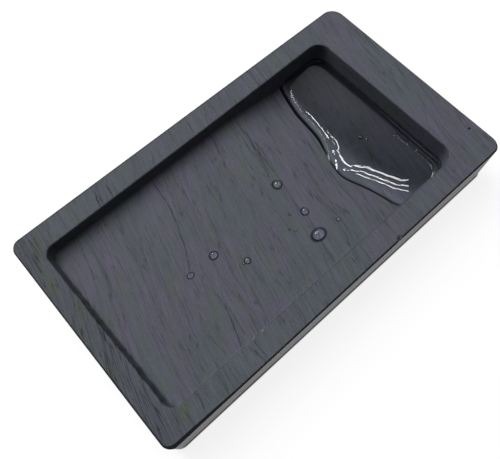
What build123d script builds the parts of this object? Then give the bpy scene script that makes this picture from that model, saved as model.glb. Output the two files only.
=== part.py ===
from build123d import *

import os

# Ink stone: a slab of slate with a rectangular hollow. The hollow's floor is level where
# ink is ground, then runs down a ramp to a well. Water lies in the well, and drops of
# water lie on the floor.
#
# Millimetres. The origin is the centre of the underside. +Z is up, +Y runs along the
# length from the grinding end to the well end, and +X runs across.

# Slab
slab_length = 135.0
slab_width = 75.5
slab_height = 18.0
slab_corner_radius = 3.6
top_edge_bevel = 0.8
base_edge_bevel = 0.6

# Rim: its width on each of the four sides of the hollow
left_rim = 7.9
right_rim = 7.7
grinding_end_rim = 6.5
well_end_rim = 14.5

# Hollow
grinding_corner_radius = 3.4
well_corner_radius = 4.5
wall_draft_degrees = 4.0
mouth_edge_round = 0.5
wall_foot_round = 1.8

# Floor of the hollow, with depths measured down from the rim
grinding_depth = 5.2
well_depth = 11.2
well_floor_length = 9.0
ramp_length = 33.0
ramp_crest_radius = 60.0
ramp_foot_radius = 20.0

# Water in the well: how far its level lies below the rim, and the round of its front
water_below_rim = 6.0
water_front_round = 1.3

# The water's front, from the left wall to the right wall: the share of the hollow's
# width, and the share of the ramp and well that lies between it and the well's end wall
water_front_shares = [
    (-0.03, 0.425),
    (0.05, 0.467),
    (0.12, 0.499),
    (0.21, 0.530),
    (0.31, 0.544),
    (0.40, 0.562),
    (0.48, 0.600),
    (0.57, 0.647),
    (0.65, 0.682),
    (0.70, 0.670),
    (0.75, 0.622),
    (0.81, 0.577),
    (0.88, 0.546),
    (0.95, 0.516),
    (1.03, 0.478),
]

# Drops on the floor. Each row gives the place as shares of the hollow's width and
# length, then the drop's size across and along as shares of the largest drop
largest_drop = 4.6
drop_height_share = 0.36
drop_shares = [
    (0.475, 0.595, 0.64, 0.60),
    (0.684, 0.596, 0.54, 0.50),
    (0.824, 0.577, 0.78, 1.00),
    (0.830, 0.650, 0.26, 0.34),
    (0.552, 0.330, 0.50, 0.58),
    (0.686, 0.387, 0.42, 0.40),
    (0.556, 0.250, 0.36, 0.46),
    (0.644, 0.560, 0.21, 0.16),
    (0.730, 0.539, 0.17, 0.19),
    (0.704, 0.529, 0.16, 0.17),
    (0.684, 0.374, 0.17, 0.17),
    (0.872, 0.328, 0.18, 0.17),
]

# Overrun that takes a cutting solid clear of the faces it passes
overrun = 2.0

hollow_width = slab_width - left_rim - right_rim
hollow_length = slab_length - grinding_end_rim - well_end_rim
hollow_left = left_rim - slab_width / 2
hollow_right = hollow_left + hollow_width
hollow_near = grinding_end_rim - slab_length / 2
hollow_far = hollow_near + hollow_length
ramp_and_well = ramp_length + well_floor_length


def rounded_slab():
    """The slab before it is hollowed, with its bevelled edges."""
    outline = RectangleRounded(slab_width, slab_length, slab_corner_radius)
    block = extrude(outline, slab_height)
    block = chamfer(block.faces().sort_by(Axis.Z)[-1].edges(), top_edge_bevel)
    return chamfer(block.faces().sort_by(Axis.Z)[0].edges(), base_edge_bevel)


def hollow_mouth():
    """The outline that the hollow has in the plane of the rim."""
    centre = Pos((hollow_left + hollow_right) / 2, (hollow_near + hollow_far) / 2)
    mouth = centre * Rectangle(hollow_width, hollow_length)
    corners = mouth.vertices().sort_by(Axis.Y)
    mouth = fillet(corners[:2], grinding_corner_radius)
    corners = mouth.vertices().sort_by(Axis.Y)
    return fillet(corners[-2:], well_corner_radius)


def space_over_floor():
    """Everything above the floor's line: level, down the ramp, and level in the well."""
    crest = (hollow_far - ramp_and_well, slab_height - grinding_depth)
    foot = (hollow_far - well_floor_length, slab_height - well_depth)
    near = hollow_near - overrun
    far = hollow_far + overrun
    top = slab_height + overrun
    line = Polyline((near, crest[1]), crest, foot, (far, foot[1]), (far, top), (near, top), close=True)
    profile = make_face(line)
    profile = fillet(profile.vertices().sort_by_distance(crest)[0], ramp_crest_radius)
    profile = fillet(profile.vertices().sort_by_distance(foot)[0], ramp_foot_radius)
    side = Plane.YZ.offset(hollow_left - overrun)
    return extrude(side * profile, hollow_width + overrun + overrun)


def looks_down(face):
    """Whether a face looks down more than it looks sideways."""
    normal = face.normal_at()
    return -normal.Z > abs(normal.X) + abs(normal.Y)


def foot_edges(solid):
    """The edges where the walls of the hollow meet its floor."""
    edges = [edge for face in solid.faces().filter_by(looks_down) for edge in face.edges()]
    return [edge for edge in edges if edges.count(edge) == 1]


def hollow_space():
    """The space that the hollow takes out of the slab, with the round along the walls' feet."""
    walls = extrude(hollow_mouth(), slab_height, dir=(0, 0, -1), taper=wall_draft_degrees)
    space = Pos(0, 0, slab_height) * walls & space_over_floor()
    return fillet(foot_edges(space), wall_foot_round)


def stone_slab(space):
    """The stone: the slab with the hollow cut out, and the hollow's mouth eased."""
    stone = rounded_slab() - space
    rim = stone.faces().sort_by(Axis.Z)[-1]
    return fillet(rim.inner_wires()[0].edges(), mouth_edge_round)


def water_pool(space):
    """The water in the well, up to its level, with a rounded front on the ramp."""
    front = [
        (hollow_left + across * hollow_width, hollow_far - along * ramp_and_well)
        for across, along in water_front_shares
    ]
    far = hollow_far + overrun
    sides = Polyline(front[-1], (front[-1][0], far), (front[0][0], far), front[0])
    outline = make_face(Spline(*front) + sides)
    level = slab_height - water_below_rim
    block = Pos(0, 0, level) * extrude(outline, slab_height, dir=(0, 0, -1))
    top = block.faces().sort_by(Axis.Z)[-1]
    block = fillet(top.edges().filter_by(GeomType.BSPLINE), water_front_round)
    return block & space


def water_drop(space, place, size):
    """A drop: half an ellipsoid that stands on the floor of the hollow.

    Args:
        space: the hollow, whose floor carries the drop.
        place: the drop's centre, as shares of the hollow's width and length.
        size: the drop's size across and along, as shares of the largest drop.
    """
    x = hollow_left + place[0] * hollow_width
    y = hollow_near + place[1] * hollow_length
    floor = space.shell().find_intersection_points(Axis((x, y, 0), (0, 0, 1)))[0][0]
    half_across = size[0] * largest_drop / 2
    half_along = size[1] * largest_drop / 2
    height = drop_height_share * largest_drop * (size[0] + size[1]) / 2
    ball = Sphere(1).scale((half_across, half_along, height))
    return Pos(floor.X, floor.Y, floor.Z) * ball & space


def save(shape, name):
    """Writes one sub-part."""
    shape.label = name
    export_step(shape, os.path.join("parts", name + ".step"))


os.makedirs("parts", exist_ok=True)
hollow = hollow_space()
save(stone_slab(hollow), "stone_slab")
save(water_pool(hollow), "water_pool")
for number, shares in enumerate(drop_shares, start=1):
    save(water_drop(hollow, shares[:2], shares[2:]), f"water_drop_{number}")
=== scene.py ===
"""Looks of an ink stone: a slab of slate with a hollow, water in its well and drops on its floor.

Metres. The origin is the centre of the underside. +Z is up, +Y runs along the length from the
grinding end to the well end, and +X runs across.
"""
import logging
import math
import operator
from collections.abc import Iterable, Iterator, Sequence
from dataclasses import dataclass, field
from enum import Enum
from functools import reduce
from typing import Any

import bmesh
import bpy
from mathutils import Matrix, Vector, noise


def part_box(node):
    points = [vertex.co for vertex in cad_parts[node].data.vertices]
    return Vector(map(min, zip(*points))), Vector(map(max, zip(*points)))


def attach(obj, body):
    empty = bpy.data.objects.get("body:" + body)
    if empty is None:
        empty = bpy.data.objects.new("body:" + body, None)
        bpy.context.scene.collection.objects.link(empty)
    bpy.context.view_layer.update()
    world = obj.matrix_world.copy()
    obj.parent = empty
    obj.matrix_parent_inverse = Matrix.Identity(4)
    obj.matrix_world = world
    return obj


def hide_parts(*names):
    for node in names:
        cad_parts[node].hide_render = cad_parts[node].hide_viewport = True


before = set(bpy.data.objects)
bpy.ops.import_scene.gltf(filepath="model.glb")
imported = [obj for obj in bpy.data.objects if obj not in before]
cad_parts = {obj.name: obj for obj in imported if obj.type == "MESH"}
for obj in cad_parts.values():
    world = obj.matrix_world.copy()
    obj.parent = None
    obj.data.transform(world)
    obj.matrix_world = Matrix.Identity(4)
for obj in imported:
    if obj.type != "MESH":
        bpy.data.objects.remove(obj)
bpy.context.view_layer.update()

MM = 0.001
BODY = "root"
log = logging.getLogger("ink_stone")

Colour = tuple[float, float, float]
Pair = tuple[float, float]
Triple = tuple[float, float, float]
Quad = tuple[float, float, float, float]


class Slot(Enum):
    """The record's material slots."""

    SLATE = "slate"
    WATER = "water"


# Small helpers for numbers


def mix(first: float, second: float, share: float) -> float:
    """Returns the value that lies at a share of the way from first to second."""
    return first + (second - first) * share


def ease(share: float) -> float:
    """Returns a share from 0 to 1 with a soft start and end."""
    share = min(max(share, 0.0), 1.0)
    return share * share * (3 - 2 * share)


def shares(count: int) -> list[float]:
    """Returns count + 1 even shares from 0 to 1."""
    return [step / count for step in range(count + 1)]


def smooth_line(points: Sequence[Pair], at: float) -> float:
    """Follows a smooth curve through points whose first numbers rise.

    Args:
        points: the points that the curve goes through.
        at: where the curve is read.

    Returns:
        The height of the curve there.
    """
    last = len(points) - 2
    span = sum(1 for x, _ in points[1:-1] if x <= at)
    span = min(span, last)
    (x1, y1), (x2, y2) = points[span], points[span + 1]
    x0, y0 = points[max(span - 1, 0)]
    x3, y3 = points[min(span + 2, last + 1)]
    slope1 = (y2 - y0) / (x2 - x0)
    slope2 = (y3 - y1) / (x3 - x1)
    width = x2 - x1
    t = (at - x1) / width
    return (
        (1 + 2 * t) * (1 - t) ** 2 * y1
        + t * (1 - t) ** 2 * width * slope1
        + t * t * (3 - 2 * t) * y2
        + t * t * (t - 1) * width * slope2
    )


def unevenness(place: Vector, wave: float, seed: float) -> float:
    """Returns a soft random value from -1 to 1 that changes over the length of a wave."""
    return noise.noise(place / wave + Vector((seed, seed, seed)))


# Shader maths


class Signal:
    """A value or colour in a material, with Python's operators for the maths on it."""

    def __init__(self, graph: "Graph", socket: bpy.types.NodeSocket | None) -> None:
        """Wraps one output socket of a graph, or nothing for a node that has no output."""
        self.graph = graph
        self.socket = socket

    def _maths(self, operation: str, *operands: "Signal | float") -> "Signal":
        """Returns the result of a Math node on these operands."""
        return self.graph.node("ShaderNodeMath", {"operation": operation}, dict(enumerate(operands)))

    def __add__(self, other: "Signal | float") -> "Signal":
        """Returns self + other."""
        return self._maths("ADD", self, other)

    __radd__ = __add__

    def __sub__(self, other: "Signal | float") -> "Signal":
        """Returns self - other."""
        return self._maths("SUBTRACT", self, other)

    def __rsub__(self, other: float) -> "Signal":
        """Returns other - self."""
        return self._maths("SUBTRACT", other, self)

    def __mul__(self, other: "Signal | float") -> "Signal":
        """Returns self * other."""
        return self._maths("MULTIPLY", self, other)

    def __truediv__(self, other: "Signal | float") -> "Signal":
        """Returns self / other."""
        return self._maths("DIVIDE", self, other)

    def __pow__(self, other: float) -> "Signal":
        """Returns self to a power."""
        return self._maths("POWER", self, other)

    def __abs__(self) -> "Signal":
        """Returns the size of self without its sign."""
        return self._maths("ABSOLUTE", self)

    def __or__(self, other: "Signal | float") -> "Signal":
        """Returns the larger of two masks."""
        return self._maths("MAXIMUM", self, other)

    def rise(self, low: float, high: float, floor: float = 0.0, top: float = 1.0) -> "Signal":
        """Maps self smoothly so that low gives floor and high gives top.

        Args:
            low: the value that gives floor. It may be larger than high.
            high: the value that gives top.
            floor: the result at and beyond low.
            top: the result at and beyond high.

        Returns:
            The mapped value.
        """
        if low > high:
            low, high, floor, top = high, low, top, floor
        limits = {"From Min": low, "From Max": high, "To Min": floor, "To Max": top}
        return self.graph.node(
            "ShaderNodeMapRange", {"interpolation_type": "SMOOTHSTEP"}, {"Value": self, **limits}
        )


def largest(masks: Iterable[Signal]) -> Signal:
    """Returns the largest of several masks."""
    return reduce(operator.or_, masks)


class Graph:
    """The node tree of a material or a world."""

    def __init__(self, owner: bpy.types.Material | bpy.types.World) -> None:
        """Empties the owner's node tree and keeps it."""
        owner.use_nodes = True
        self.tree = owner.node_tree
        self.tree.nodes.clear()

    def node(
        self,
        kind: str,
        settings: dict[str, Any] | None = None,
        values: dict[str | int, Any] | None = None,
        output: str | int = 0,
    ) -> Signal:
        """Adds one node.

        Args:
            kind: the node's type.
            settings: the node's own settings, set first.
            values: the numbers, colours or signals for its input sockets.
            output: the name or number of the output socket that is wanted.

        Returns:
            That output socket's signal.
        """
        made = self.tree.nodes.new(kind)
        for name, value in (settings or {}).items():
            setattr(made, name, value)
        for name, value in (values or {}).items():
            if isinstance(value, Signal):
                self.tree.links.new(value.socket, made.inputs[name])
            else:
                made.inputs[name].default_value = value
        return Signal(self, made.outputs[output] if made.outputs else None)

    def blend(self, share: Signal | float, first: Signal | Colour, second: Signal | Colour) -> Signal:
        """Returns the colour that lies at a share of the way from first to second."""
        ends = [end if isinstance(end, Signal) else (*end, 1) for end in (first, second)]
        return self.node("ShaderNodeMix", {"data_type": "RGBA"}, {0: share, 6: ends[0], 7: ends[1]}, output=2)

    def scaled(self, colour: Signal, factor: Signal | float) -> Signal:
        """Returns a colour made lighter or darker by a factor."""
        return self.node("ShaderNodeVectorMath", {"operation": "SCALE"}, {0: colour, 3: factor})

    def vector(self, x: Signal | float, y: Signal | float, z: Signal | float) -> Signal:
        """Returns a vector from its three parts."""
        return self.node("ShaderNodeCombineXYZ", None, {0: x, 1: y, 2: z})

    def place_in_mm(self) -> "Place":
        """Returns the three parts of the point on the object, in millimetres."""
        point = self.node("ShaderNodeTexCoord", output="Object")
        point = self.node("ShaderNodeVectorMath", {"operation": "SCALE"}, {0: point, 3: 1 / MM})
        return tuple(self.node("ShaderNodeSeparateXYZ", None, {0: point}, output=axis) for axis in range(3))

    def attribute(self, name: str) -> Signal:
        """Returns the value that a mesh keeps under a name."""
        return self.node("ShaderNodeAttribute", {"attribute_name": name}, output="Fac")

    def bump(self, distance: float, height: Signal) -> Signal:
        """Returns a normal that follows a height over a distance in metres."""
        return self.node("ShaderNodeBump", None, {"Strength": 1.0, "Distance": distance, "Height": height})

    def finish(self, shader: Signal, kind: str = "ShaderNodeOutputMaterial") -> None:
        """Joins a shader to the output."""
        self.node(kind, None, {"Surface": shader})


Place = tuple[Signal, Signal, Signal]


@dataclass(frozen=True)
class Cloud:
    """A soft random pattern about 0.5, given by its changes per millimetre along x, y and z."""

    x: float
    y: float
    z: float
    detail: float = 2.0
    roughness: float = 0.5
    shift: float = 0.0

    def over(self, place: Place) -> Signal:
        """Draws the pattern.

        Args:
            place: the three parts of the point that it is drawn over, in millimetres.

        Returns:
            The pattern's value there.
        """
        x, y, z = place
        graph = x.graph
        spot = graph.vector(x * self.x, y * self.y, z * self.z + self.shift)
        values = {"Vector": spot, "Scale": 1.0, "Detail": self.detail, "Roughness": self.roughness}
        return graph.node("ShaderNodeTexNoise", None, values)


# Finishes


@dataclass(frozen=True)
class Vein:
    """A dark vein in the slate, in millimetres, through three points of the top."""

    start: Pair
    middle: Pair
    end: Pair
    width: float = 0.30
    strength: float = 0.40

    def curve(self) -> Triple:
        """Returns the numbers a, b and c of y = a + b x + c x² through the three points."""
        (x0, y0), (x1, y1), (x2, y2) = self.start, self.middle, self.end
        first = (y1 - y0) / (x1 - x0)
        second = ((y2 - y1) / (x2 - x1) - first) / (x2 - x0)
        return y0 - first * x0 + second * x0 * x1, first - second * (x0 + x1), second


VEINS = (
    Vein((-29.4, -21.9), (-13.5, -24.7), (3.6, -32.6), 0.34, 0.50),
    Vein((-17.9, -9.4), (-9.3, -11.2), (-1.5, -12.4), 0.28, 0.30),
    Vein((-15.7, -2.1), (-12.3, -2.7), (-8.4, -3.9), 0.28, 0.35),
    Vein((-21.2, 9.2), (-12.0, 8.4), (-3.2, 6.4), 0.28, 0.35),
    Vein((-19.7, 10.9), (-3.4, 8.9), (14.2, 4.8), 0.32, 0.42),
    Vein((-26.5, 11.9), (-18.0, 12.1), (-9.5, 11.2), 0.26, 0.25),
    Vein((-13.4, -16.6), (-10.5, -17.4), (-8.0, -18.1), 0.30, 0.35),
    Vein((6.3, -24.6), (11.1, -27.6), (16.5, -30.6), 0.26, 0.30),
    Vein((15.4, -30.3), (21.0, -32.1), (30.4, -35.6), 0.34, 0.50),
    Vein((6.8, -31.4), (12.5, -30.7), (17.0, -30.5), 0.26, 0.30),
    Vein((15.5, -30.3), (22.0, -31.1), (28.4, -32.6), 0.28, 0.38),
    Vein((-26.4, -51.3), (-18.7, -53.4), (-13.0, -54.7), 0.28, 0.35),
    Vein((-5.4, -48.5), (2.6, -50.1), (10.5, -52.4), 0.26, 0.22),
    Vein((4.2, -37.8), (8.7, -38.8), (14.5, -40.4), 0.26, 0.25),
    Vein((-17.4, -45.2), (-14.7, -45.6), (-12.2, -46.2), 0.28, 0.40),
    Vein((-15.9, -47.3), (-9.3, -48.8), (-2.7, -50.6), 0.24, 0.20),
    Vein((-36.4, -37.7), (-32.4, -38.8), (-29.2, -39.4), 0.34, 0.60),
    Vein((-34.4, -37.7), (-31.6, -38.1), (-29.2, -38.2), 0.28, 0.40),
    Vein((-36.0, -33.7), (-32.9, -34.3), (-29.6, -35.1), 0.34, 0.62),
    Vein((-35.0, -31.9), (-32.8, -32.4), (-30.2, -33.2), 0.24, 0.28),
    Vein((-36.8, -1.0), (-33.0, -1.7), (-29.6, -2.5), 0.32, 0.50),
    Vein((-37.4, -4.4), (-34.8, -5.0), (-32.0, -5.8), 0.28, 0.35),
    Vein((30.4, -33.9), (33.7, -33.7), (37.4, -33.2), 0.32, 0.50),
    Vein((30.8, -32.0), (34.0, -32.2), (37.6, -32.0), 0.28, 0.45),
    Vein((31.1, -3.0), (33.6, -3.7), (36.4, -5.0), 0.26, 0.30),
    Vein((10.2, 59.3), (15.9, 56.2), (21.9, 53.2), 0.24, 0.22),
)


@dataclass(frozen=True)
class SlateFinish:
    """Dark slate with a fine slanting grain, cloudy tints, veins and rubbed edges.

    Its places along y and z are in millimetres.
    """

    green_grey: Colour = (0.065, 0.073, 0.086)
    violet_grey: Colour = (0.073, 0.072, 0.097)
    moss_grey: Colour = (0.064, 0.077, 0.058)
    rubbed_grey: Colour = (0.17, 0.18, 0.20)

    # The grain's direction, and how it bends
    grain_slope: float = 0.24
    grain_lean: float = 0.30
    bend: float = 12.0
    bending: Cloud = Cloud(1 / 60, 1 / 60, 1 / 60, 1.0)

    # The parts of the top: all of it, the wild near rim and the greener near half
    top_from: Pair = (14.0, 17.5)
    wild_from: Pair = (-52.0, -62.0)
    green_from: Pair = (25.0, -25.0)
    green_rim: float = 0.75
    wild_shade: float = 0.10

    # The grain, the specks and the tints
    fine_grain: Cloud = Cloud(0.16, 3.0, 0.8, 3.0, 0.6)
    fine_share: float = 0.75
    broad_grain: Cloud = Cloud(0.03, 0.5, 0.2)
    broad_share: float = 0.35
    specks: Cloud = Cloud(2.3, 2.3, 2.3, 2.0, 0.6)
    speck_share: float = 0.55
    tints: Cloud = Cloud(1 / 17.6, 1 / 11, 1 / 11, 3.0)
    tint_band: Pair = (0.36, 0.60)
    moss: Cloud = Cloud(0.10, 0.26, 0.2, 3.0, 0.6, shift=9.0)
    moss_band: Pair = (0.52, 0.67)
    moss_speck: float = 0.25
    moss_share: float = 0.38
    wild_moss: float = 0.62
    chips: Cloud = Cloud(1.1, 1.1, 1.1, 3.0)
    chip_band: Pair = (0.46, 0.62)

    # The strokes, in patches: dense short hairs and spare long lines
    stroke_share: float = 0.42
    patches: Cloud = Cloud(0.08, 0.22, 0.2, 1.0)
    patch_band: Pair = (0.40, 0.62)
    hairs: Cloud = Cloud(0.07, 1.30, 0.4, 1.0, 0.4)
    hair_level: float = 0.5
    hair_width: float = 0.055
    hair_share: float = 0.6
    lines: Cloud = Cloud(0.035, 0.42, 0.2, 2.0, 0.4)
    line_level: float = 0.52
    line_width: float = 0.022
    line_share: float = 0.45

    # The veins' dark core as a share of their width, their wandering and their breaks
    vein_core: float = 0.25
    end_fade: float = 2.5
    wander: Cloud = Cloud(0.35, 0.35, 0.35)
    wander_reach: float = 0.9
    jitter: Cloud = Cloud(1.4, 1.4, 1.4, 1.0)
    jitter_reach: float = 0.45
    breaks: Cloud = Cloud(0.45, 0.45, 0.45, 1.0)
    break_band: Quad = (0.36, 0.52, 0.55, 1.0)

    # The painted shadow ring round a drop's edge, by shares of the drop's half size
    shade_ring_share: float = 0.80
    shade_ring_inner: Pair = (0.66, 0.90)
    shade_ring_outer: Pair = (1.40, 1.08)

    darkened_share: float = 0.22
    # Painted light: the sides are made lighter for the white floor's light on them
    side_light_gain: float = 0.15
    roughness: float = 0.72
    rough_share: float = 0.25
    sawn_roughness: float = 0.42
    gloss: float = 0.22
    index: float = 1.5
    relief: float = 0.04 * MM
    relief_shares: Quad = (0.5, 0.3, 0.2, 0.4)

    def material(self, drops: Sequence[Quad]) -> bpy.types.Material:
        """Makes the slate's material.

        Args:
            drops: the middle and the half sizes of each drop of water on it, in millimetres.

        Returns:
            The material.
        """
        made = bpy.data.materials.new("slate")
        graph = Graph(made)
        here = graph.place_in_mm()
        x, y, z = here
        bent = self.bending.over(here)
        across = y + x * self.grain_slope + z * self.grain_lean + (bent - 0.5) * self.bend
        grain = (x, across, z)
        fine = self.fine_grain.over(grain)
        broad = self.broad_grain.over(grain)
        speck = self.specks.over(here)
        top = z.rise(*self.top_from)
        wild = top * y.rise(*self.wild_from)
        strokes = self._strokes(grain, wild)
        veins = self._veins(here)
        violet = self.tints.over(grain).rise(*self.tint_band)
        violet = violet - top * y.rise(*self.green_from) * self.green_rim
        tint = graph.blend(violet.rise(0.0, 1.0), self.green_grey, self.violet_grey)
        moss = (self.moss.over(grain) + (speck - 0.5) * self.moss_speck).rise(*self.moss_band)
        tint = graph.blend(moss * (self.moss_share + wild * self.wild_moss), tint, self.moss_grey)
        shade = 1.0 + (fine - 0.5) * self.fine_share + (broad - 0.5) * self.broad_share
        shade = shade + (speck - 0.5) * self.speck_share
        shade = shade - strokes * self.stroke_share - veins - wild * self.wild_shade
        # Painted shadow in a ring round each drop's edge
        shade = shade * (1 - self._drop_shadow_rings(x, y, drops) * self.shade_ring_share)
        sawn = graph.attribute("sawn")
        # Painted light on the sides
        shade = shade * (1 + sawn * self.side_light_gain)
        # Darkens where the mesh marks it: painted contact shadow and shade down the sides and in dents, and
        # darker bevels and edges
        shade = shade * (1 - graph.attribute("dark_and_painted_shade") * (1 - self.darkened_share))
        chips = self.chips.over(here).rise(*self.chip_band)
        colour = graph.blend(graph.attribute("rubbed") * chips, graph.scaled(tint, shade), self.rubbed_grey)
        rough = self.roughness + (fine - 0.5) * self.rough_share
        rough = rough + sawn * (self.sawn_roughness - self.roughness)
        of_fine, of_broad, of_speck, of_strokes = self.relief_shares
        height = fine * of_fine + broad * of_broad + speck * of_speck - strokes * of_strokes - veins
        values = {
            "Base Color": colour,
            "Roughness": rough,
            "IOR": self.index,
            "Specular IOR Level": self.gloss,
            "Normal": graph.bump(self.relief, height),
        }
        graph.finish(graph.node("ShaderNodeBsdfPrincipled", None, values))
        return made

    def _drop_shadow_rings(self, x: Signal, y: Signal, drops: Sequence[Quad]) -> Signal:
        """Paints shadow on the slate in a ring round the edge of each drop.

        Args:
            x: the place across the stone.
            y: the place along it.
            drops: the middle and the half sizes of each drop, in millimetres.

        Returns:
            How dark the painted shadow makes the slate.
        """
        rings = []
        for middle_x, middle_y, half_x, half_y in drops:
            away = (((x - middle_x) / half_x) ** 2 + ((y - middle_y) / half_y) ** 2) ** 0.5
            rings.append(away.rise(*self.shade_ring_inner) * away.rise(*self.shade_ring_outer))
        return largest(rings)

    def _strokes(self, grain: Place, wild: Signal) -> Signal:
        """Draws thin dark strokes along the grain.

        Args:
            grain: the point, with its place across the grain as y.
            wild: where the strokes are dense.

        Returns:
            How dark the strokes are.
        """
        patches = self.patches.over(grain).rise(*self.patch_band)
        hair = abs(self.hairs.over(grain) - self.hair_level).rise(self.hair_width, 0.0)
        line = abs(self.lines.over(grain) - self.line_level).rise(self.line_width, 0.0)
        line = line * (1 - self.line_share + patches * self.line_share)
        return hair * (patches * self.hair_share + wild) | line

    def _veins(self, here: Place) -> Signal:
        """Draws the named veins.

        Args:
            here: the point on the stone, in millimetres.

        Returns:
            How dark the veins are.
        """
        x, y, _ = here
        path = y + (self.wander.over(here) - 0.5) * self.wander_reach
        path = path + (self.jitter.over(here) - 0.5) * self.jitter_reach
        lines = []
        for vein in VEINS:
            a, b, c = vein.curve()
            middle = (x * c + b) * x + a
            line = abs(path - middle).rise(vein.width, vein.width * self.vein_core)
            fade = x.rise(vein.start[0], vein.start[0] + self.end_fade)
            fade = fade * x.rise(vein.end[0], vein.end[0] - self.end_fade)
            lines.append(line * fade * vein.strength)
        return largest(lines) * self.breaks.over(here).rise(*self.break_band)


@dataclass(frozen=True)
class WaterFinish:
    """Clear water that darkens with its depth, has painted shade at its edge, and lets lamps through."""

    name: str
    clear: Colour = (0.60, 0.64, 0.66)
    deep: Colour = (0.096, 0.105, 0.114)
    # Near black: painted shade at the water's edge, where the bent surface turns light away
    edge: Colour = (0.002, 0.002, 0.003)
    index: float = 1.333
    lamp_share: float = 0.86
    mist: Cloud = Cloud(0.5, 0.5, 0.5)
    mist_share: float = 0.2
    swell: Cloud = Cloud(1 / 2.4, 1 / 2.4, 1 / 2.4)
    ripple: float = 0.0012 * MM

    def material(self) -> bpy.types.Material:
        """Makes the water's material.

        Returns:
            The material.
        """
        made = bpy.data.materials.new(self.name)
        graph = Graph(made)
        here = graph.place_in_mm()
        depth = graph.attribute("depth") + (self.mist.over(here) - 0.5) * self.mist_share
        colour = graph.blend(depth.rise(0.0, 1.0), self.clear, self.deep)
        values = {
            # The edge layer paints shade along the water's edge
            "Base Color": graph.blend(graph.attribute("edge"), colour, self.edge),
            "Roughness": 0.0,
            "IOR": self.index,
            "Transmission Weight": 1.0,
            "Normal": graph.bump(self.ripple, self.swell.over(here)),
        }
        water = graph.node("ShaderNodeBsdfPrincipled", None, values)
        opening = graph.node("ShaderNodeBsdfTransparent", None, {"Color": (*[self.lamp_share] * 3, 1)})
        lamp_ray = graph.node("ShaderNodeLightPath", output="Is Shadow Ray")
        graph.finish(graph.node("ShaderNodeMixShader", None, {0: lamp_ray, 1: water, 2: opening}))
        return made


POOL_FINISH = WaterFinish("water")
DROP_FINISH = WaterFinish("drop_water", clear=(0.56, 0.58, 0.63), lamp_share=0.80)
AIR_FINISH = WaterFinish("air_in_water", index=1 / POOL_FINISH.index, clear=(1, 1, 1))


@dataclass(frozen=True)
class FloorFinish:
    """A pale matt floor that stays white behind the object and keeps its shadow.

    The stone's corner and the stretch over which the lift begins are in millimetres.
    """

    colour: Colour = (0.15, 0.15, 0.15)
    lift: float = 0.85
    corner: float = 3.4
    contact: Pair = (0.05, 0.5)

    def material(self, half_width: float, half_length: float) -> bpy.types.Material:
        """Makes the floor's material, whose lift fades close round the stone to leave a painted contact
        shadow.

        Args:
            half_width: half the stone's size across, in millimetres.
            half_length: half the stone's size along, in millimetres.

        Returns:
            The material.
        """
        made = bpy.data.materials.new("pale_floor")
        graph = Graph(made)
        x, y, _ = graph.place_in_mm()
        beside = (abs(x) - (half_width - self.corner)) | 0.0
        beyond = (abs(y) - (half_length - self.corner)) | 0.0
        away = (beside * beside + beyond * beyond) ** 0.5 - self.corner
        matt = graph.node("ShaderNodeBsdfDiffuse", None, {"Color": (*self.colour, 1)})
        # The lift fades near the stone's outline: a painted contact shadow line
        strength = seen_rays(graph) * self.lift * away.rise(*self.contact)
        lift = graph.node("ShaderNodeEmission", None, {"Color": (1, 1, 1, 1), "Strength": strength})
        graph.finish(graph.node("ShaderNodeAddShader", None, {0: matt, 1: lift}))
        return made


def seen_rays(graph: Graph, mirrored: Signal | float = 1.0) -> Signal:
    """Finds how much of the backdrop a ray sees.

    Args:
        graph: the graph that needs it.
        mirrored: how much a mirrored ray sees of it.

    Returns:
        1 for rays from the camera or through glass, and 0 for rays that only bring light.
    """
    names = ("Is Camera Ray", "Is Transmission Ray", "Is Glossy Ray")
    camera, through_glass, glossy = (graph.node("ShaderNodeLightPath", output=name) for name in names)
    return largest((camera, through_glass, glossy * mirrored))


# Objects and meshes

Station = tuple[Vector, Vector]
Loop = list[bmesh.types.BMVert]


def drop_nodes() -> list[str]:
    """Returns the names of the frame's drops of water."""
    return sorted(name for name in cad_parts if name.startswith("water_drop"))


def drop_places() -> list[Quad]:
    """Looks up where the drops of water stand.

    Returns:
        The middle and the half sizes of each drop, in millimetres.
    """
    found = []
    for name in drop_nodes():
        low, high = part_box(name)
        middle, half = (low + high) / 2 / MM, (high - low) / 2 / MM
        found.append((middle.x, middle.y, half.x, half.y))
    return found


def vertices_in(parts: Iterable[Any]) -> Loop:
    """Returns the vertices among the parts that a mesh operator gives back."""
    return [part for part in parts if isinstance(part, bmesh.types.BMVert)]


def new_object(name: str, data: bpy.types.ID) -> bpy.types.Object:
    """Puts a mesh, a lamp or a camera into the scene.

    Args:
        name: the object's name.
        data: the mesh, the lamp or the camera.

    Returns:
        The new object.
    """
    made = bpy.data.objects.new(name, data)
    bpy.context.scene.collection.objects.link(made)
    return made


def mesh_object(name: str, mesh: bmesh.types.BMesh, material: bpy.types.Material) -> bpy.types.Object:
    """Puts a modelled shape into the scene.

    Args:
        name: the object's name.
        mesh: the shape, in place. It is freed.
        material: the object's finish.

    Returns:
        The new object.
    """
    data = bpy.data.meshes.new(name)
    mesh.to_mesh(data)
    mesh.free()
    data.materials.append(material)
    return new_object(name, data)


def finished_piece(
    name: str, mesh: bmesh.types.BMesh, material: bpy.types.Material, slot: Slot
) -> bpy.types.Object:
    """Turns a mesh into a piece that rides on the stone's body.

    Args:
        name: the piece's name.
        mesh: the shape, in place. It is freed.
        material: the piece's finish.
        slot: the record's slot that the finish belongs to. It is not used.

    Returns:
        The new object.
    """
    for face in mesh.faces:
        face.smooth = True
    made = mesh_object(name, mesh, material)
    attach(made, BODY)
    log.info("%s: %d faces", name, len(made.data.polygons))
    return made


@dataclass(frozen=True)
class Steps:
    """The steps that a ring of the stone takes, and the rings that each part of it has."""

    across: int = 124
    along: int = 248
    half_corner: int = 5
    base_bevel: int = 3
    side: int = 14
    rim: int = 14
    lip: int = 5
    wall: int = 9
    foot: int = 7


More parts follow.
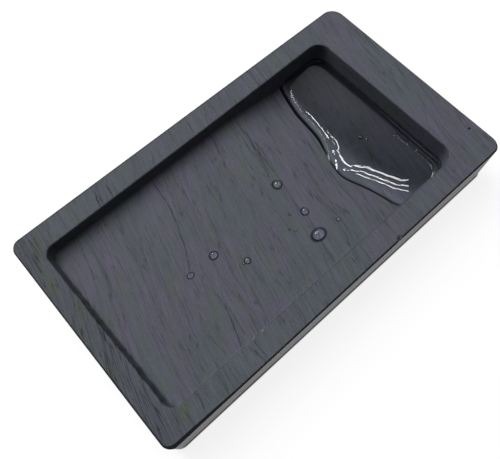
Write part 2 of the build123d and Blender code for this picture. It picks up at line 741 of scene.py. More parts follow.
@dataclass(frozen=True)
class Outline:
    """A rectangle with four rounded corners, seen from above."""

    left: float
    right: float
    near: float
    far: float
    near_left: float
    near_right: float
    far_right: float
    far_left: float

    def stations(self, steps: Steps) -> list[Station]:
        """Walks round the outline anticlockwise, from the middle of the near left corner.

        Args:
            steps: how many steps each stretch takes.

        Returns:
            Each point with the direction that points out of the outline there.
        """
        corners = (
            (self.left, self.near, 1, 1, self.near_left, 225),
            (self.right, self.near, -1, 1, self.near_right, 315),
            (self.right, self.far, -1, -1, self.far_right, 45),
            (self.left, self.far, 1, -1, self.far_left, 135),
        )
        counts = (steps.across, steps.along, steps.across, steps.along)
        found = []
        for number, count in enumerate(counts):
            first = self._half_corner(corners[number], steps.half_corner, leaves=True)
            second = self._half_corner(corners[(number + 1) % 4], steps.half_corner, leaves=False)
            found += first
            start, end = first[-1][0], second[0][0]
            outward = first[-1][1]
            found += [(start.lerp(end, share), outward) for share in shares(count)[1:]]
            found += second[1:-1]
        return found

    @staticmethod
    def _half_corner(
        corner: tuple[float, float, int, int, float, float], count: int, leaves: bool
    ) -> list[Station]:
        """Walks round half a corner.

        Args:
            corner: its x and y, the directions that lead inward, its radius and its middle's angle.
            count: how many steps it takes.
            leaves: whether the walk starts at the corner's middle or ends there.

        Returns:
            Each point with the direction that points out of the outline there.
        """
        x, y, inward_x, inward_y, radius, middle = corner
        centre = Vector((x + inward_x * radius, y + inward_y * radius))
        start, end = (middle, middle + 45) if leaves else (middle - 45, middle)
        found = []
        for share in shares(count):
            angle = math.radians(mix(start, end, share))
            outward = Vector((math.cos(angle), math.sin(angle)))
            found.append((centre + outward * radius, outward))
        return found


@dataclass(frozen=True)
class HollowFloor:
    """The line of the hollow's floor, seen from the side."""

    rim: float
    far: float
    level_depth: float = 5.2 * MM
    well_depth: float = 11.2 * MM
    well_length: float = 9.0 * MM
    ramp_length: float = 33.0 * MM
    crest_radius: float = 60.0 * MM
    foot_radius: float = 20.0 * MM

    def height(self, y: float) -> float:
        """Follows the level floor, the round crest, the ramp, the round foot and the well's floor.

        Args:
            y: the place along the stone.

        Returns:
            The floor's height there.
        """
        foot = self.far - self.well_length
        crest = foot - self.ramp_length
        fall = (self.well_depth - self.level_depth) / self.ramp_length
        angle = math.atan(fall)
        crest_reach = self.crest_radius * math.tan(angle / 2)
        foot_reach = self.foot_radius * math.tan(angle / 2)
        level = self.rim - self.level_depth
        if y <= crest - crest_reach:
            return level
        if y <= crest + crest_reach * math.cos(angle):
            run = y - (crest - crest_reach)
            return level - self.crest_radius + math.sqrt(self.crest_radius**2 - run**2)
        if y <= foot - foot_reach * math.cos(angle):
            return level - (y - crest) * fall
        if y <= foot + foot_reach:
            run = y - (foot + foot_reach)
            return self.rim - self.well_depth + self.foot_radius - math.sqrt(self.foot_radius**2 - run**2)
        return self.rim - self.well_depth


@dataclass(frozen=True)
class Ring:
    """One ring of the stone: its points, how dark it is made, in part by painted shade, and how much it is a
    sawn side.
    """

    points: list[Vector]
    dark_and_painted_shade: float = 0.0
    sawn: float = 0.0


@dataclass(frozen=True)
class Dent:
    """A small dent in the stone, and the mark that it leaves in a layer of the mesh."""

    centre: Triple
    reach: float
    depth: float
    layer: str
    mark: float


@dataclass
class StoneSlab:
    """The stone: its slab, rim, walls and floor in one closed mesh of rings."""

    corner_near_left: float = 3.4 * MM
    corner_near_right: float = 3.0 * MM
    corner_far_right: float = 3.9 * MM
    corner_far_left: float = 4.6 * MM
    top_bevel: float = 0.45 * MM
    near_bevel: float = 0.95 * MM
    near_bevel_length: float = 30 * MM
    base_bevel: float = 0.15 * MM
    left_rim: float = 7.9 * MM
    right_rim: float = 7.7 * MM
    near_rim: float = 6.5 * MM
    far_rim: float = 14.5 * MM
    near_mouth_corner: float = 3.4 * MM
    far_mouth_corner: float = 4.5 * MM
    mouth_round: float = 0.5 * MM
    wall_draft: float = math.radians(4.0)
    near_wall_draft: float = math.radians(10.0)
    foot_round: float = 0.7 * MM
    left_lean: Pair = (0.35 * MM, -0.35 * MM)
    left_bow: float = 0.25 * MM
    right_lean: Pair = (0.20 * MM, -0.10 * MM)
    near_set: float = 0.18 * MM
    far_set: Pair = (0.15 * MM, 0.40 * MM)
    near_trim: Pair = (0.32 * MM, 0.0)
    far_trim: Pair = (0.18 * MM, 0.45 * MM)
    ragged: float = 0.45 * MM
    ragged_wave: float = 3.2 * MM
    ragged_from: float = 0.35
    edge_darkening: float = 0.9
    edge_darkening_width: float = 0.35 * MM
    lip_darkening: float = 0.55
    lip_darkening_width: float = 1.2
    lip_darkening_fade: float = 1.5
    hand_work: float = 0.05 * MM
    hand_waves: Pair = (14 * MM, 3.5 * MM)
    hand_shares: Triple = (0.5, 0.36, 0.14)
    crease: float = 0.12 * MM
    # The sides darken towards the bottom: painted contact shadow at the foot and painted shade higher up
    foot_contact_shadow: Pair = (4.5 * MM, 0.9)
    side_shade: Pair = (12.0 * MM, 0.35)
    bevel_shares: tuple[float, ...] = (0.0, 0.12, 0.5, 0.88, 1.0)
    rim_edge_shares: Triple = (0.01, 0.05, 0.97)
    rubbed_stretch: Pair = (-35.0 * MM, -26.0 * MM)
    rubbed_width: float = 0.6 * MM
    rubbed_fades: Pair = (1.6, 2.0)
    # The first dent is rubbed pale; the other two hold painted shade in their hollows
    dents: tuple[Dent, ...] = (
        Dent((37.6 * MM, 20.0 * MM, 17.9 * MM), 1.5 * MM, 0.75 * MM, "rubbed", 0.8),
        Dent((37.75 * MM, 18.6 * MM, 16.6 * MM), 0.6 * MM, 0.1 * MM, "dark_and_painted_shade", 1.0),
        Dent((26.8 * MM, 63.9 * MM, 18.0 * MM), 0.55 * MM, 0.5 * MM, "dark_and_painted_shade", 1.1),
    )
    dent_zone: float = 1.8
    dent_refinements: int = 2
    dent_waver: Pair = (0.35, 0.35)
    dent_fade: float = 1.25
    dent_mark_fade: float = 2.0
    steps: Steps = field(default_factory=Steps)

    def __post_init__(self) -> None:
        """Takes the slab's size from the frame."""
        low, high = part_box("stone_slab")
        self.height = high.z
        near_corners = (self.corner_near_left, self.corner_near_right)
        far_corners = (self.corner_far_right, self.corner_far_left)
        self.outer = Outline(low.x, high.x, low.y, high.y, *near_corners, *far_corners)
        mouth_corners = (self.near_mouth_corner,) * 2 + (self.far_mouth_corner,) * 2
        self.mouth = Outline(
            low.x + self.left_rim,
            high.x - self.right_rim,
            low.y + self.near_rim,
            high.y - self.far_rim,
            *mouth_corners,
        )
        self.floor = HollowFloor(high.z, self.mouth.far)

    def outer_stations(self) -> list[Station]:
        """Walks round the slab, whose two ends are a little out of square.

        Returns:
            The outline's stations.
        """
        width = self.outer.right - self.outer.left
        found = []
        for place, outward in self.outer.stations(self.steps):
            side = (place.x - self.outer.left) / width
            near = ease(-outward.y) * mix(*self.near_trim, side)
            far = ease(outward.y) * mix(*self.far_trim, side)
            found.append((place + Vector((0, near - far)), outward))
        return found

    def mouth_stations(self) -> list[Station]:
        """Walks round the mouth, which is a little out of square and ragged at the near end.

        Returns:
            The mouth's stations.
        """
        found = []
        for place, outward in self.mouth.stations(self.steps):
            along = (place.y - self.mouth.near) / (self.mouth.far - self.mouth.near)
            side = (place.x - self.mouth.left) / (self.mouth.right - self.mouth.left)
            left = mix(*self.left_lean, along) + self.left_bow * 4 * along * (1 - along)
            lean = mix(left, mix(*self.right_lean, along), side)
            near_side = ease(-outward.y) * ease(self.ragged_from + side)
            wave = unevenness(Vector((place.x, 0, 0)), self.ragged_wave, seed=4.0) * near_side * self.ragged
            reach = mix(self.near_set, mix(*self.far_set, side), along)
            found.append((place + Vector((lean, wave + reach)), outward))
        return found

    def rings(self) -> Iterator[Ring]:
        """Yields the rings from the underside, up the sides, over the rim and down to the floor.

        Yields:
            The rings in order.
        """
        outer = self.outer_stations()
        yield from self._side_rings(outer)
        mouth = self.mouth_stations()
        yield from self._rim_rings(outer, mouth)
        yield from self._wall_rings(mouth)

    def bevel_at(self, place: Vector, outward: Vector) -> float:
        """Widens the top bevel towards the near end of the right side.

        Args:
            place: a place on the outline.
            outward: the direction that points out of the outline there.

        Returns:
            The bevel's width there.
        """
        along = (place.y - self.outer.near) / self.near_bevel_length
        right = mix(self.near_bevel, self.top_bevel, ease(along))
        return mix(self.top_bevel, right, ease(outward.x))

    def _side_rings(self, outer: list[Station]) -> Iterator[Ring]:
        """Yields the rings of the underside's edge, the sides and the top bevel.

        Args:
            outer: the outline's stations.

        Yields:
            The rings in order.
        """

        def ring(inset: float, height: float) -> list[Vector]:
            """Returns one ring at a height, set in from the outline."""
            return [(place - outward * inset).to_3d() + Vector((0, 0, height)) for place, outward in outer]

        # The underside's edge and its bevel are fully darkened: painted contact shadow
        yield Ring(ring(self.base_bevel + self.crease, 0.0), dark_and_painted_shade=1.0)
        for share in shares(self.steps.base_bevel):
            yield Ring(ring(self.base_bevel * (1 - share), self.base_bevel * share), dark_and_painted_shade=1.0, sawn=1.0)
        lowest = self.base_bevel + self.crease
        highest = self.height - self.near_bevel - self.crease
        for share in shares(self.steps.side):
            height = mix(lowest, highest, share)
            shades = [dark * ease(1 - height / reach) for reach, dark in (self.foot_contact_shadow, self.side_shade)]
            yield Ring(ring(0.0, height), min(sum(shades), 1.0), sawn=1.0)
        bevels = [self.bevel_at(place, outward) for place, outward in outer]
        # The top bevel is fully darkened
        for share in self.bevel_shares:
            points = []
            for (place, outward), bevel in zip(outer, bevels):
                point = (place - outward * bevel * share).to_3d()
                point.z = self.height - bevel * (1 - share)
                points.append(point)
            yield Ring(points, dark_and_painted_shade=1.0)

    def _rim_rings(self, outer: list[Station], mouth: list[Station]) -> Iterator[Ring]:
        """Yields the rings of the flat rim, from the top bevel to the mouth's round.

        Args:
            outer: the outline's stations.
            mouth: the mouth's stations.

        Yields:
            The rings in order.
        """
        for share in sorted((*self.rim_edge_shares, *shares(self.steps.rim)[1:])):
            points = []
            for (start, outward), (end, mouth_outward) in zip(outer, mouth):
                start = start - outward * self.bevel_at(start, outward)
                end = end + mouth_outward * self.mouth_round
                point = start.lerp(end, share).to_3d()
                point.z = self.height
                points.append(point)
            yield Ring(points)

    def _wall_rings(self, mouth: list[Station]) -> Iterator[Ring]:
        """Yields the rings of the mouth's round, the walls, the foot's round and the floor's edge.

        Args:
            mouth: the mouth's stations.

        Yields:
            The rings in order.
        """
        columns = []
        for place, outward in mouth:
            draft = mix(self.wall_draft, self.near_wall_draft, ease(-outward.y))
            foot = place - outward * (self.foot_round + self.floor.level_depth * math.tan(draft))
            section = self._wall_section(self.height - self.floor.height(foot.y), draft)
            columns.append([(*(place - outward * inset), self.height - depth) for inset, depth in section])
        for points in zip(*columns):
            yield Ring([Vector(point) for point in points])

    def _wall_section(self, deepest: float, draft: float) -> list[Pair]:
        """Draws the mouth's round, the wall and the foot's round in section.

        Args:
            deepest: the floor's depth at the wall.
            draft: the wall's draft.

        Returns:
            The inset and the depth of each point, from the top down.
        """
        lip, foot = self.mouth_round, self.foot_round
        centre = deepest - foot
        section = []
        for share in shares(self.steps.lip)[1:]:
            angle = share * (math.pi / 2 - draft)
            section.append((lip * (math.tan(draft) - 1 + math.sin(angle)), lip * (1 - math.cos(angle))))
        for share in shares(self.steps.wall)[1:]:
            depth = mix(lip, deepest - foot * (1 - math.sin(draft)), share)
            section.append((depth * math.tan(draft), depth))
        for share in shares(self.steps.foot)[1:]:
            angle = mix(draft, math.pi / 2, share)
            inset = centre * math.tan(draft) + foot / math.cos(draft) - foot * math.cos(angle)
            section.append((inset, centre + foot * math.sin(angle)))
        return section

    def build(self, material: bpy.types.Material) -> bpy.types.Object:
        """Models the stone ring by ring and dresses it.

        Args:
            material: the slate.

        Returns:
            The stone's piece.
        """
        mesh = bmesh.new()
        dark_and_painted_shade = mesh.verts.layers.float.new("dark_and_painted_shade")
        sawn = mesh.verts.layers.float.new("sawn")
        rubbed = mesh.verts.layers.float.new("rubbed")
        loop: Loop = []
        for ring in self.rings():
            if loop:
                loop = self._next_loop(mesh, loop)
            else:
                loop = bmesh.ops.create_circle(mesh, segments=len(ring.points), radius=1.0)["verts"]
                first_loop = loop
            for vertex, point in zip(loop, ring.points):
                vertex.co = point
                vertex[dark_and_painted_shade] = ring.dark_and_painted_shade
                vertex[sawn] = ring.sawn
                vertex[rubbed] = self._rubbed(point)
        self._fill_floor(mesh, loop)
        bmesh.ops.edgeloop_fill(mesh, edges=self._loop_edges(first_loop))
        bmesh.ops.recalc_face_normals(mesh, faces=mesh.faces)
        for vertex in mesh.verts:
            vertex[dark_and_painted_shade] = max(vertex[dark_and_painted_shade], self._dark_edges(vertex.co))
        self._work_by_hand(mesh)
        for dent in self.dents:
            self._knock(mesh, dent)
        made = finished_piece("ink_stone", mesh, material, Slot.SLATE)
        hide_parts("stone_slab")
        return made

    def _dark_edges(self, point: Vector) -> float:
        """Darkens the rim's left and near edges and the right lip.

        Args:
            point: a point of the stone.

        Returns:
            How dark it is made.
        """
        if point.z < self.height - 2 * self.mouth_round:
            return 0.0
        left = point.x - self.outer.left - self.top_bevel
        near = point.y - self.outer.near - self.top_bevel
        edge = ease(1 - min(left, near) / self.edge_darkening_width)
        lip = abs(point.x - self.mouth.right) / (self.lip_darkening_width * self.mouth_round)
        along = ease((point.y - self.mouth.near) / self.near_rim)
        along *= ease((self.mouth.far - point.y) / self.near_rim)
        lip = ease(self.lip_darkening_fade - self.lip_darkening_fade * lip)
        return max(self.edge_darkening * edge, self.lip_darkening * lip * along)

    def _rubbed(self, point: Vector) -> float:
        """Rubs a stretch of the mouth's right edge pale.

        Args:
            point: a point of the stone.

        Returns:
            How far it is rubbed.
        """
        start, end = self.rubbed_stretch
        fade_across, fade_along = self.rubbed_fades
        across = abs(point.x - self.mouth.right) / self.rubbed_width
        along = abs(point.y - (start + end) / 2) / ((end - start) / 2)
        return ease(fade_across - fade_across * across) * ease(fade_along - fade_along * along)

    @staticmethod
    def _loop_edges(loop: Loop) -> list[bmesh.types.BMEdge]:
        """Finds the edges that join a closed loop of vertices.

        Args:
            loop: the vertices in order.

        Returns:
            The edges in order.
        """
        found = []
        for first, second in zip(loop, loop[1:] + loop[:1]):
            found += [edge for edge in first.link_edges if edge.other_vert(first) is second]
        return found

    def _next_loop(self, mesh: bmesh.types.BMesh, loop: Loop) -> Loop:
        """Extrudes a closed loop.

        Args:
            mesh: the stone.
            loop: the last loop's vertices in order.

        Returns:
            The new loop's vertices in the same order.
        """
        made = bmesh.ops.extrude_edge_only(mesh, edges=self._loop_edges(loop))["geom"]
        new = set(vertices_in(made))
        found = []
        for vertex in loop:
            found += [edge.other_vert(vertex) for edge in vertex.link_edges if edge.other_vert(vertex) in new]
        return found

    def _fill_floor(self, mesh: bmesh.types.BMesh, loop: Loop) -> None:
        """Fills the innermost loop with a grid and lays it on the floor's line.

        Args:
            mesh: the stone.
            loop: the innermost loop's vertices in order.
        """
        edges = self._loop_edges(loop)
        across = self.steps.across + 2 * self.steps.half_corner
        along = self.steps.along + 2 * self.steps.half_corner
        near = edges[:across]
        far = edges[across + along : 2 * across + along]
        old = set(mesh.verts)
        bmesh.ops.grid_fill(mesh, edges=near + far, use_interp_simple=True)
        for vertex in mesh.verts:
            if vertex not in old:
                vertex.co.z = self.floor.height(vertex.co.y)

    def _work_by_hand(self, mesh: bmesh.types.BMesh) -> None:
        """Gives every face but the underside the slight unevenness of stone rubbed by hand.

        Args:
            mesh: the stone.
        """
        least, of_slow, of_quick = self.hand_shares
        mesh.normal_update()
        for vertex in mesh.verts:
            if vertex.co.z <= self.base_bevel:
                continue
            slow = unevenness(vertex.co, self.hand_waves[0], seed=1.0)
            quick = unevenness(vertex.co, self.hand_waves[1], seed=2.0)
            vertex.co -= vertex.normal * self.hand_work * (least + of_slow * slow + of_quick * quick)

    def _knock(self, mesh: bmesh.types.BMesh, dent: Dent) -> None:
        """Refines the mesh round a dent and knocks the dent into it.

        Args:
            mesh: the stone.
            dent: the dent.
        """
        centre = Vector(dent.centre)
        waver, wave = self.dent_waver
        zone = dent.reach * self.dent_zone
        for _ in range(self.dent_refinements):
            ends = [(edge, *(vertex.co for vertex in edge.verts)) for edge in mesh.edges]
            near = [edge for edge, start, end in ends if ((start + end) / 2 - centre).length < zone]
            bmesh.ops.subdivide_edges(mesh, edges=near, cuts=1, use_grid_fill=True)
        mesh.normal_update()
        layer = mesh.verts.layers.float[dent.layer]
        moves = []
        for vertex in mesh.verts:
            rough = 1 + waver * unevenness(vertex.co, dent.reach * wave, seed=7.0)
            away = (vertex.co - centre).length / (dent.reach * rough)
            if away < 1:
                depth = ease(self.dent_fade * (1 - away))
                moves.append((vertex, vertex.normal * dent.depth * rough * depth))
                vertex[layer] = max(vertex[layer], dent.mark * ease(self.dent_mark_fade * (1 - away)))
        for vertex, move in moves:
            vertex.co -= move


@dataclass
class WaterPool:
    """The water in the well: level, drawn up a little at the walls, with a rounded front."""

    stone: StoneSlab
    capillary: float = 2.5 * MM
    wall_rise: float = 0.25 * MM
    rise_reach: float = 2.2 * MM
    rise_start: Pair = (9.0 * MM, 17.0 * MM)
    back_margin: float = 3 * MM
    slope_step: float = 0.5 * MM
    least_slope: float = math.radians(0.5)
    steepest_sine: float = 0.68
    front_crowding: float = 0.8
    side_crowding: float = 0.5
    deep_from: float = 4.2 * MM
    edge_shade_width: float = 0.9 * MM
    edge_shade_core: float = 0.5
    sunk: float = 0.12 * MM
    front_sunk_share: float = 0.6
    across_steps: int = 200
    front_steps: int = 40
    back_steps: int = 46

    # The front's place: share of the hollow's width, and share of the ramp and well behind it
    front_shares: tuple[Pair, ...] = (
        (-0.03, 0.425), (0.05, 0.467), (0.12, 0.499), (0.21, 0.530), (0.31, 0.544),
        (0.40, 0.562), (0.48, 0.600), (0.57, 0.648), (0.65, 0.667), (0.70, 0.652),
        (0.75, 0.621), (0.81, 0.586), (0.88, 0.555), (0.95, 0.528), (1.03, 0.470),
    )
    # How far the front's slope spreads: share of the hollow's width, and share of the capillary length
    spread_shares: tuple[Pair, ...] = (
        (-0.03, 0.90), (0.30, 0.95), (0.45, 1.10), (0.55, 2.10), (0.65, 3.13), (0.70, 3.49),
        (0.75, 3.75), (0.80, 3.89), (0.85, 4.00), (0.90, 4.24), (0.95, 5.01), (1.03, 6.07),
    )

    def __post_init__(self) -> None:
        """Takes the water's level from the frame."""
        mouth = self.stone.mouth
        self.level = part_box("water_pool")[1].z
        drop = self.stone.height - self.level
        self.wall = drop * math.tan(self.stone.wall_draft)
        self.left = mouth.left + self.wall - self.sunk
        self.right = mouth.right - self.wall + self.sunk
        self.far = mouth.far - self.wall + self.sunk

    def front(self, x: float) -> float:
        """Follows the line where the water ends on the ramp.

        Args:
            x: the place across the stone.

        Returns:
            How far along the stone the front lies there.
        """
        mouth, floor = self.stone.mouth, self.stone.floor
        share = (x - mouth.left) / (mouth.right - mouth.left)
        behind = floor.ramp_length + floor.well_length
        return mouth.far - smooth_line(self.front_shares, share) * behind

    def back(self, x: float) -> float:
        """Follows the far wall with its round corners.

        Args:
            x: the place across the stone.

        Returns:
            How far along the stone the water ends there.
        """
        radius = self.stone.far_mouth_corner - self.wall + self.sunk
        into = max(radius - (x - self.left), radius - (self.right - x), 0.0)
        return self.far - radius + math.sqrt(max(radius**2 - into**2, 0.0))

    @staticmethod
    def _reach(angle: float) -> float:
        """Returns how far back a still surface reaches the slope of an angle, in capillary lengths."""
        return math.log(math.tan(angle / 4)) + 2 * math.cos(angle / 2)

    def surface(self, x: float, share: float, row: int) -> tuple[Vector, float]:
        """Finds one point of the water's surface.

        Args:
            x: the place across the stone.
            share: the share of the row's stretch, in the front or behind it.
            row: the number of the row, counted from the front.

        Returns:
            The point, and how far it lies from the water's edge.
        """
        mouth = self.stone.mouth
        start = self.front(x)
        step = self.slope_step
        tilt = math.atan((self.front(x + step) - self.front(x - step)) / (2 * step))
        spread = smooth_line(self.spread_shares, (x - mouth.left) / (mouth.right - mouth.left))
        length = self.capillary * spread
        drop = self.level - self.stone.floor.height(start) + self.sunk * self.front_sunk_share
        steepest = 2 * math.asin(min(drop / (2 * length), self.steepest_sine))
        least = self.least_slope
        end = start + length * (self._reach(steepest) - self._reach(least)) / math.cos(tilt)
        end = min(end, self.back(x) - self.back_margin)
        if row <= self.front_steps:
            angle = mix(steepest, least, share**self.front_crowding)
            away = length * (self._reach(steepest) - self._reach(angle))
            low = 2 * length * math.sin(angle / 2) * drop / (2 * length * math.sin(steepest / 2))
            y = min(start + away / math.cos(tilt), end)
        else:
            y = mix(end, self.back(x), share)
            away = (y - start) * math.cos(tilt)
            low = 2 * length * math.sin(least / 2) * (1 - share)
        beside = max(min(x - self.left, self.right - x), 0.0)
        rise = self.wall_rise * math.exp(-beside / self.rise_reach)
        rise *= ease((away - self.rise_start[0]) / (self.rise_start[1] - self.rise_start[0]))
        rise *= ease((self.back(x) - y) / self.back_margin)
        return Vector((x, y, self.level - low + rise)), away

    def build(self, material: bpy.types.Material) -> bpy.types.Object:
        """Models the pool and dresses it.

        Args:
            material: the water.

        Returns:
            The pool's piece.
        """
        rows = self.front_steps + self.back_steps
        mesh = bmesh.new()
        bmesh.ops.create_grid(mesh, x_segments=self.across_steps, y_segments=rows, size=1.0)
        depth = mesh.verts.layers.float.new("depth")
        edge = mesh.verts.layers.float.new("edge")
        for vertex in mesh.verts:
            across = (vertex.co.x + 1) / 2
            row = round((vertex.co.y + 1) / 2 * rows)
            across = mix(across, ease(across), self.side_crowding)
            x = mix(self.left, self.right, across)
            if row <= self.front_steps:
                share = row / self.front_steps
            else:
                share = (row - self.front_steps) / self.back_steps
            point, away = self.surface(x, share, row)
            vertex.co = point
            below = point.z - self.stone.floor.height(point.y)
            vertex[depth] = ease(below / self.deep_from)
            # Painted shade along the water's edge
            vertex[edge] = 1 - ease(away / self.edge_shade_width - self.edge_shade_core)
        top = list(mesh.faces)
        under = bmesh.ops.extrude_face_region(mesh, geom=top, use_keep_orig=True)["geom"]
        for vertex in vertices_in(under):
            vertex.co.z = min(self.stone.floor.height(vertex.co.y), vertex.co.z) - self.sunk
        bmesh.ops.recalc_face_normals(mesh, faces=mesh.faces)
        made = finished_piece("pool_water", mesh, material, Slot.WATER)
        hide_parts("water_pool")
        return made


@dataclass
class WaterDrops:
    """The drops on the floor: low domes whose outlines wander a little."""

    stone: StoneSlab
    dome_share: float = 0.72
    wander: float = 0.07
    wander_wave: float = 0.9
    first_seed: float = 11
    seed_step: float = 3.1
    shade_ring_share: float = 0.50
    sunk: float = 0.10 * MM
    segments: int = 40
    rings: int = 28

    def build(self, material: bpy.types.Material) -> list[bpy.types.Object]:
        """Models every drop that the frame holds and dresses it.

        Args:
            material: the water.

        Returns:
            The drops' pieces.
        """
        return [self._drop(name, number, material) for number, name in enumerate(drop_nodes())]

    def _drop(self, node: str, number: int, material: bpy.types.Material) -> bpy.types.Object:
        """Models one drop as a dome cut from a sphere.

        Args:
            node: the node that it stands for.
            number: its number, which makes its outline its own.
            material: the water.

        Returns:
            The drop's piece.
        """
        low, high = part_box(node)
        centre = (low + high) / 2
        size = high - low
        contact = 2 * math.atan(self.dome_share)
        cut, wide = math.cos(contact), math.sin(contact)
        seed = number * self.seed_step + self.first_seed
        mesh = bmesh.new()
        bmesh.ops.create_uvsphere(mesh, u_segments=self.segments, v_segments=self.rings, radius=1.0)
        whole = [*mesh.verts, *mesh.edges, *mesh.faces]
        bmesh.ops.bisect_plane(mesh, geom=whole, plane_co=(0, 0, cut), plane_no=(0, 0, 1), clear_inner=True)
        rim = [edge for edge in mesh.edges if edge.is_boundary]
        edge_shade_layer = mesh.verts.layers.float.new("edge")
        for vertex in mesh.verts:
            out = Vector(vertex.co.xy) / wide
            wobble = 1 + self.wander * unevenness(out.to_3d(), self.wander_wave, seed)
            x = centre.x + out.x * size.x / 2 * wobble
            y = centre.y + out.y * size.y / 2 * wobble
            lift = (vertex.co.z - cut) / (1 - cut)
            floor = self.stone.floor.height(y)
            vertex.co = Vector((x, y, floor + lift * (high.z - floor)))
            # Painted shade round the drop's edge, fading up its side
            vertex[edge_shade_layer] = 1 - ease(lift / self.shade_ring_share)
        skirt = bmesh.ops.extrude_edge_only(mesh, edges=rim)["geom"]
        for vertex in vertices_in(skirt):
            vertex.co.z -= self.sunk
        bmesh.ops.edgeloop_fill(mesh, edges=[item for item in mesh.edges if item.is_boundary])
        bmesh.ops.recalc_face_normals(mesh, faces=mesh.faces)
        made = finished_piece(node.replace("water_drop", "drop"), mesh, material, Slot.WATER)
        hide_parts(node)
        return made


@dataclass
class AirBubbles:
    """Small bubbles of air that hang under the pool's surface."""

    level: float
    places: tuple[Triple, ...] = (
        (4.1 * MM, 39.7 * MM, 0.80 * MM),
        (5.6 * MM, 35.4 * MM, 0.32 * MM),
        (5.9 * MM, 40.6 * MM, 0.30 * MM),
    )
    gap: float = 0.06 * MM
    flatness: float = 0.82
    shade_ring_gain: float = 4.5
    shade_ring_cut: float = 2.8

    def build(self, material: bpy.types.Material) -> list[bpy.types.Object]:
        """Models the bubbles, each with a ring of painted shade at its edge, and dresses them.

        Args:
            material: the air's finish, seen from the water.

        Returns:
            The bubbles' pieces.
        """
        made = []
        for number, (x, y, radius) in enumerate(self.places, start=1):
            mesh = bmesh.new()
            bmesh.ops.create_icosphere(mesh, subdivisions=4, radius=radius)
            edge = mesh.verts.layers.float.new("edge")
            for vertex in mesh.verts:
                # Painted shade in a ring round the bubble's outline
                vertex[edge] = ease(self.shade_ring_gain * vertex.co.xy.length / radius - self.shade_ring_cut)
            bmesh.ops.scale(mesh, vec=(1, 1, self.flatness), verts=mesh.verts)
            height = self.level - self.gap - radius * self.flatness
            bmesh.ops.translate(mesh, vec=(x, y, height), verts=mesh.verts)
            made.append(finished_piece(f"air_bubble_{number}", mesh, material, Slot.WATER))
        return made


# Studio


def turn_axes(made: bpy.types.Object, x: Vector, y: Vector, z: Vector) -> None:
    """Turns an object so that its own axes point along three directions."""
    made.rotation_mode = "QUATERNION"
    made.rotation_quaternion = Matrix((x, y, z)).transposed().to_quaternion()


@dataclass(frozen=True)
class Lamp:
    """An area lamp, given by how it looks from the stone.

    Its place is given over its height and its width and length over its distance. Its turn is
    the direction of its length, seen from above.
    """

    name: str
    toward: Pair
    wide: float
    long: float
    radiance: float
    turn: float = 0.0
    distance: float = 2.4
    mirrored: bool = True

    def place(self, centre: Vector) -> bpy.types.Object:
        """Makes the lamp, facing the centre.

        Args:
            centre: the point that the lamp lights.

        Returns:
            The lamp's object.
        """
        light = bpy.data.lights.new(self.name, "AREA")
        light.shape = "RECTANGLE"
        light.size = self.long * self.distance
        light.size_y = self.wide * self.distance
        light.energy = self.radiance * math.pi * light.size * light.size_y
        made = new_object(self.name, light)
        toward = Vector((*self.toward, 1.0)).normalized()
        made.location = centre + toward * self.distance
        along = Vector((math.cos(self.turn), math.sin(self.turn), 0))
        side = toward.cross(along).normalized()
        turn_axes(made, side.cross(toward).normalized(), side, toward)
        made.visible_camera = False
        made.visible_glossy = self.mirrored
        return made


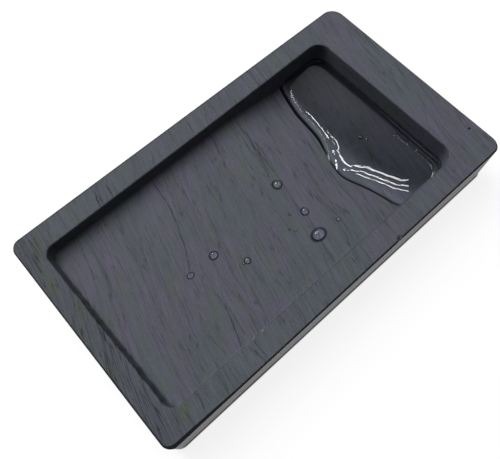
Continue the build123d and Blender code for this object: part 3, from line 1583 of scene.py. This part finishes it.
@dataclass
class Studio:
    """The floor, the lamps, the world and the camera."""

    floor_size: float = 6.0
    sky: float = 0.06
    centre: Triple = (16.0 * MM, 33.0 * MM, 12.0 * MM)

    # The part of the world that water mirrors: a band of heights, brighter on the lit side
    band_from: Pair = (0.40, 0.60)
    band_to: Pair = (0.96, 0.76)
    lit_side: Quad = (-0.12, -0.38, 0.6, 1.1)

    azimuth: float = 49.33
    elevation: float = 68.57
    roll: float = -1.24
    distance: float = 158.7 * MM
    aim: Triple = (5.81 * MM, -10.97 * MM, 18.0 * MM)
    lens: float = 38.65
    nearest: float = 1 * MM

    strip_turn: float = math.radians(24.3)
    lamps: tuple[Lamp, ...] = (
        Lamp("window", (-1.17, -0.10), wide=0.50, long=0.49, radiance=8.6),
        Lamp("overhead", (-0.44, -0.17), wide=0.36, long=0.434, radiance=9.4, mirrored=False),
        Lamp("sheen", (-0.66, -0.29), wide=0.05, long=0.36, radiance=9.0, turn=math.radians(-25.8)),
        Lamp("strip_1", (-0.150, 0.231), wide=0.020, long=0.44, radiance=36.0, turn=strip_turn),
        Lamp("strip_2", (-0.058, 0.195), wide=0.014, long=0.445, radiance=36.0, turn=strip_turn),
        Lamp("strip_3", (0.095, 0.204), wide=0.010, long=0.225, radiance=32.0, turn=strip_turn),
        Lamp("spark", (-0.40, -0.01), wide=0.06, long=0.05, radiance=34.0, distance=2.2),
        Lamp("wall_box", (-0.72, 0.48), wide=0.07, long=0.14, radiance=18.0, turn=math.radians(90)),
    )

    def build(self) -> None:
        """Sets up everything round the object."""
        self._floor()
        self._world()
        for lamp in self.lamps:
            lamp.place(Vector(self.centre))
        self._camera()

    def _floor(self) -> None:
        """Lays the pale floor."""
        mesh = bmesh.new()
        bmesh.ops.create_grid(mesh, x_segments=1, y_segments=1, size=self.floor_size / 2)
        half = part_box("stone_slab")[1] / MM
        made = mesh_object("floor", mesh, FloorFinish().material(half.x, half.y))

    def _world(self) -> None:
        """Lights the scene softly from all round, with a white backdrop low down."""
        world = bpy.data.worlds.new("studio")
        bpy.context.scene.world = world
        graph = Graph(world)
        direction = graph.node("ShaderNodeTexCoord", output="Generated")
        side, height = (
            graph.node("ShaderNodeSeparateXYZ", None, {0: direction}, output=axis) for axis in (0, 2)
        )
        band = height.rise(*self.band_from) * height.rise(*self.band_to) * side.rise(*self.lit_side)
        strength = self.sky + seen_rays(graph, band) * (1 - self.sky)
        light = graph.node("ShaderNodeBackground", None, {"Color": (1, 1, 1, 1), "Strength": strength})
        graph.finish(light, "ShaderNodeOutputWorld")

    def _camera(self) -> None:
        """Puts the camera where the photograph was taken."""
        azimuth, elevation = math.radians(self.azimuth), math.radians(self.elevation)
        level = math.cos(elevation)
        back = Vector((level * math.sin(azimuth), -level * math.cos(azimuth), math.sin(elevation)))
        right = Vector((math.cos(azimuth), math.sin(azimuth), 0))
        right.rotate(Matrix.Rotation(math.radians(self.roll), 3, back))
        data = bpy.data.cameras.new("camera")
        data.lens = self.lens
        data.clip_start = self.nearest
        made = new_object("camera", data)
        made.location = Vector(self.aim) + back * self.distance
        turn_axes(made, right, back.cross(right), back)
        bpy.context.scene.camera = made


def main() -> None:
    """Builds the ink stone, its water and the studio."""
    logging.basicConfig(level=logging.INFO, format="%(name)s %(message)s")
    bpy.context.scene.view_settings.view_transform = "Standard"
    stone = StoneSlab()
    stone.build(SlateFinish().material(drop_places()))
    pool = WaterPool(stone)
    pool.build(POOL_FINISH.material())
    WaterDrops(stone).build(DROP_FINISH.material())
    AirBubbles(pool.level).build(AIR_FINISH.material())
    Studio().build()


if __name__ == "__main__":
    main()
